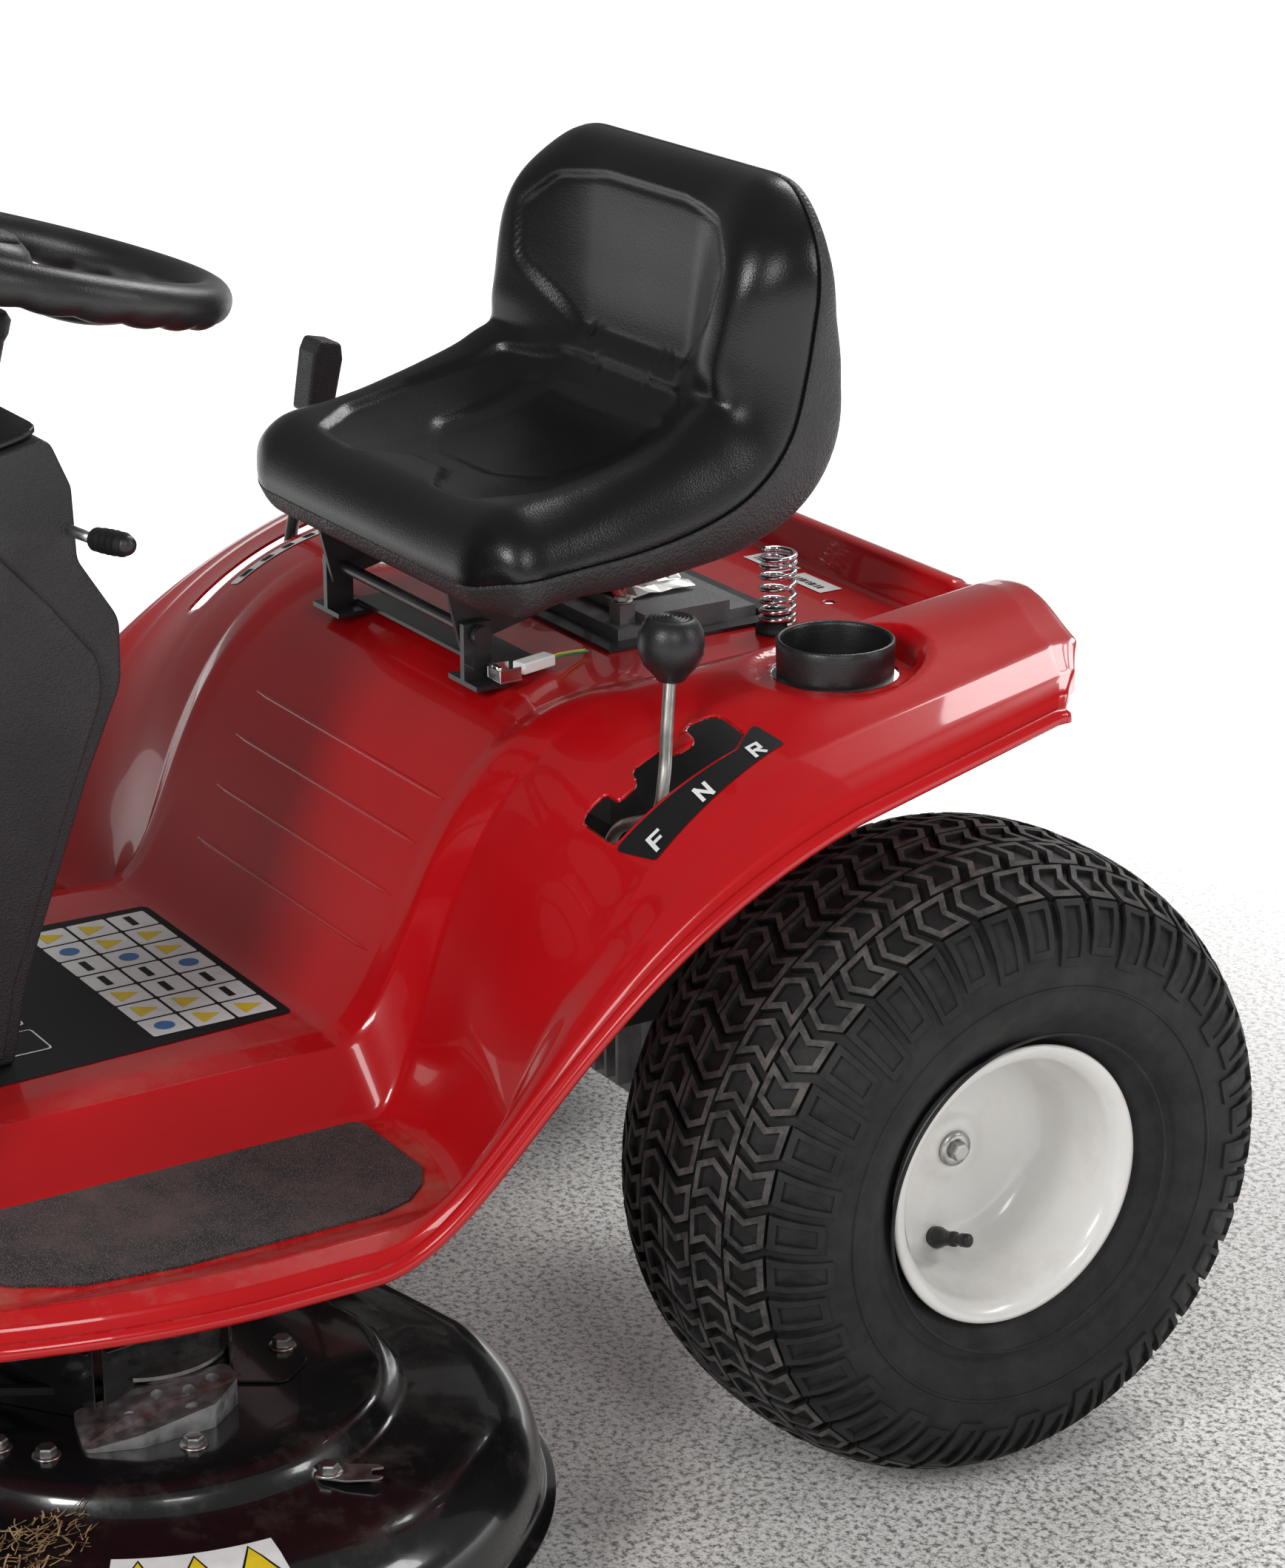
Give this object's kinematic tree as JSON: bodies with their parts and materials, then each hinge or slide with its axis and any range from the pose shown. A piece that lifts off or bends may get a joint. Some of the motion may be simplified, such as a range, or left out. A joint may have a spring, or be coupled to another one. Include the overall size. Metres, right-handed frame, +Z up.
{
  "type": "riding lawn mower",
  "caption": "Ride-on lawn mower with a front engine, pressed steel body, sprung bucket seat and twin-blade cutting deck.",
  "frame": {"origin": "on the ground under the middle of the machine's bounding box", "axes": "+Z up, +Y to the machine's rear, +X to the machine's left"},
  "size_m": [1.0867, 1.704, 1.0055],
  "materials": {
    "painted_red_steel": "glossy",
    "painted_black_steel": "satin",
    "deck_black_enamel": "glossy",
    "bare_steel": "satin",
    "chromed_spring_steel": "polished",
    "cast_aluminium": "matte",
    "rust_brown_steel": "matte",
    "off_white_enamel": "glossy",
    "tire_rubber": "matte",
    "grit_pad": "matte",
    "seat_vinyl": "glossy",
    "black_textured_plastic": "matte",
    "black_smooth_plastic": "satin",
    "battery_case": "satin",
    "cable_insulation": "satin",
    "white_plastic": "satin",
    "tank_plastic": "satin",
    "clear_lens": "glossy"
  },
  "bodies": {
    "chassis": {"chassis_frame": "painted_black_steel", "hitch_plate": "painted_black_steel", "transaxle": "cast_aluminium", "fender_body": "painted_red_steel", "footrest_pads": "grit_pad", "cup_holder": "black_smooth_plastic", "battery_tray": "black_textured_plastic", "battery": "battery_case", "battery_cables": "cable_insulation", "seat_springs": "chromed_spring_steel", "seat_bracket": "painted_black_steel", "seat_switch": "white_plastic", "dash_pedestal": "black_textured_plastic", "dash_panel": "black_textured_plastic", "steering_column": "black_textured_plastic", "front_bumper": "painted_black_steel", "engine_block": "cast_aluminium", "engine_shroud": "black_textured_plastic", "muffler": "rust_brown_steel", "air_cleaner": "black_textured_plastic", "fuel_tank": "tank_plastic"},
    "crankshaft": {"crank_pulley": "bare_steel"},
    "seat": {"seat_cushion": "seat_vinyl", "seat_shell": "black_textured_plastic", "seat_pan": "painted_black_steel"},
    "steering": {"steering_wheel": "black_smooth_plastic", "steering_shaft": "bare_steel"},
    "sector": {"sector_gear": "bare_steel"},
    "axle_beam": {"front_axle": "painted_black_steel"},
    "left_knuckle": {"left_spindle": "bare_steel"},
    "right_knuckle": {"right_spindle": "bare_steel"},
    "track_rod": {"tie_rod": "bare_steel"},
    "steering_link": {"drag_link": "bare_steel"},
    "left_front_wheel": {"left_front_tire": "tire_rubber", "left_front_rim": "off_white_enamel"},
    "right_front_wheel": {"right_front_tire": "tire_rubber", "right_front_rim": "off_white_enamel"},
    "left_rear_wheel": {"left_rear_tire": "tire_rubber", "left_rear_rim": "off_white_enamel", "left_axle_shaft": "bare_steel"},
    "right_rear_wheel": {"right_rear_tire": "tire_rubber", "right_rear_rim": "off_white_enamel", "right_axle_shaft": "bare_steel"},
    "bonnet": {"hood": "painted_red_steel", "grille": "black_textured_plastic", "headlight_lenses": "clear_lens"},
    "shifter": {"shift_lever": "bare_steel", "shift_knob": "black_smooth_plastic"},
    "lift": {"lift_lever": "painted_black_steel", "lift_grip": "black_smooth_plastic"},
    "pedal": {"brake_pedal": "painted_black_steel"},
    "brake_lock": {"brake_lock_lever": "bare_steel"},
    "key": {"ignition_key": "bare_steel"},
    "deck": {"mower_deck": "deck_black_enamel", "spindle_housings": "cast_aluminium", "lift_links": "painted_black_steel", "mower_belt": "tire_rubber"},
    "left_cutter": {"left_blade": "bare_steel"},
    "right_cutter": {"right_blade": "bare_steel"},
    "chute": {"deflector": "deck_black_enamel"}
  },
  "joints": [
    {"name": "seat_tilt", "type": "hinge", "parent": "chassis", "child": "seat", "pos_m": [0, 0.35, 0.632], "axis": [1, 0, 0], "range_deg": [-15, 50]},
    {"name": "steering_turn", "type": "hinge", "parent": "chassis", "child": "steering", "pos_m": [0, 0.01, 0.945], "axis": [0, 0.2588, 0.9659], "range_deg": [-270, 270]},
    {"name": "sector_turn", "type": "hinge", "parent": "chassis", "child": "sector", "pos_m": [0.1, -0.3, 0.296], "axis": [0, 0, 1], "range_deg": [-35.1, 35.1]},
    {"name": "front_axle_rock", "type": "hinge", "parent": "chassis", "child": "axle_beam", "pos_m": [0, -0.6, 0.25], "axis": [0, 1, 0], "range_deg": [-6, 6]},
    {"name": "left_steer", "type": "hinge", "parent": "axle_beam", "child": "left_knuckle", "pos_m": [0.284, -0.6, 0.19], "axis": [0, 0, 1], "range_deg": [-35.1, 35.1]},
    {"name": "right_steer", "type": "hinge", "parent": "axle_beam", "child": "right_knuckle", "pos_m": [-0.284, -0.6, 0.19], "axis": [0, 0, 1], "range_deg": [-35.1, 35.1]},
    {"name": "tie_rod_pivot", "type": "hinge", "parent": "left_knuckle", "child": "track_rod", "pos_m": [0.284, -0.49, 0.203], "axis": [0, 0, 1], "range_deg": [-35.1, 35.1]},
    {"name": "drag_link_pivot", "type": "hinge", "parent": "left_knuckle", "child": "steering_link", "pos_m": [0.204, -0.6, 0.2755], "axis": [0, 0, 1], "range_deg": [-35.1, 35.1]},
    {"name": "left_front_roll", "type": "hinge", "parent": "left_knuckle", "child": "left_front_wheel", "pos_m": [0.38, -0.6, 0.1905], "axis": [1, 0, 0], "continuous": true},
    {"name": "right_front_roll", "type": "hinge", "parent": "right_knuckle", "child": "right_front_wheel", "pos_m": [-0.38, -0.6, 0.1905], "axis": [1, 0, 0], "continuous": true},
    {"name": "left_rear_roll", "type": "hinge", "parent": "chassis", "child": "left_rear_wheel", "pos_m": [0.385, 0.6, 0.254], "axis": [1, 0, 0], "continuous": true},
    {"name": "right_rear_roll", "type": "hinge", "parent": "chassis", "child": "right_rear_wheel", "pos_m": [-0.385, 0.6, 0.254], "axis": [1, 0, 0], "continuous": true},
    {"name": "hood_open", "type": "hinge", "parent": "chassis", "child": "bonnet", "pos_m": [0, -0.79, 0.385], "axis": [1, 0, 0], "range_deg": [0, 60]},
    {"name": "gear_shift", "type": "hinge", "parent": "chassis", "child": "shifter", "pos_m": [0.235, 0.38, 0.42], "axis": [1, 0, 0], "range_deg": [-10, 10]},
    {"name": "deck_lift_lever", "type": "hinge", "parent": "chassis", "child": "lift", "pos_m": [-0.235, 0.38, 0.4], "axis": [1, 0, 0], "range_deg": [-10, 25]},
    {"name": "brake_press", "type": "hinge", "parent": "chassis", "child": "pedal", "pos_m": [0.284, -0.362, 0.338], "axis": [1, 0, 0], "range_deg": [0, 24]},
    {"name": "brake_lock_turn", "type": "hinge", "parent": "chassis", "child": "brake_lock", "pos_m": [0.112, 0.018, 0.765], "axis": [0, 1, 0], "range_deg": [-12, 12]},
    {"name": "key_turn", "type": "hinge", "parent": "chassis", "child": "key", "pos_m": [-0.072, -0.09928, 0.81147], "axis": [0, -0.2206, 0.9754], "range_deg": [-60, 0]},
    {"name": "deck_height", "type": "slide", "parent": "chassis", "child": "deck", "axis": [0, 0, 1], "range_m": [-0.045, 0.018], "deforming": ["mower_belt"]},
    {"name": "crank_spin", "type": "hinge", "parent": "chassis", "child": "crankshaft", "pos_m": [0, -0.45, 0.25], "axis": [0, 0, 1], "continuous": true},
    {"name": "left_blade_spin", "type": "hinge", "parent": "deck", "child": "left_cutter", "pos_m": [0.241, -0.01, 0.1], "axis": [0, 0, 1], "continuous": true},
    {"name": "right_blade_spin", "type": "hinge", "parent": "deck", "child": "right_cutter", "pos_m": [-0.235, -0.08, 0.1], "axis": [0, 0, 1], "continuous": true},
    {"name": "deflector_lift", "type": "hinge", "parent": "deck", "child": "chute", "pos_m": [-0.508, 0, 0.14], "axis": [0, 1, 0], "range_deg": [0, 60]}
  ],
  "couplings": [
    {"joint": "sector_turn", "follows": "steering_turn", "ratio": 0.12963},
    {"joint": "left_steer", "follows": "steering_turn", "ratio": 0.12963},
    {"joint": "right_steer", "follows": "steering_turn", "ratio": 0.12963},
    {"joint": "tie_rod_pivot", "follows": "steering_turn", "ratio": -0.12963},
    {"joint": "drag_link_pivot", "follows": "steering_turn", "ratio": -0.12963},
    {"joint": "deck_height", "follows": "deck_lift_lever", "m_per_rad": -0.1},
    {"joint": "left_blade_spin", "follows": "crank_spin", "ratio": 0.84},
    {"joint": "right_blade_spin", "follows": "crank_spin", "ratio": 0.84}
  ]
}
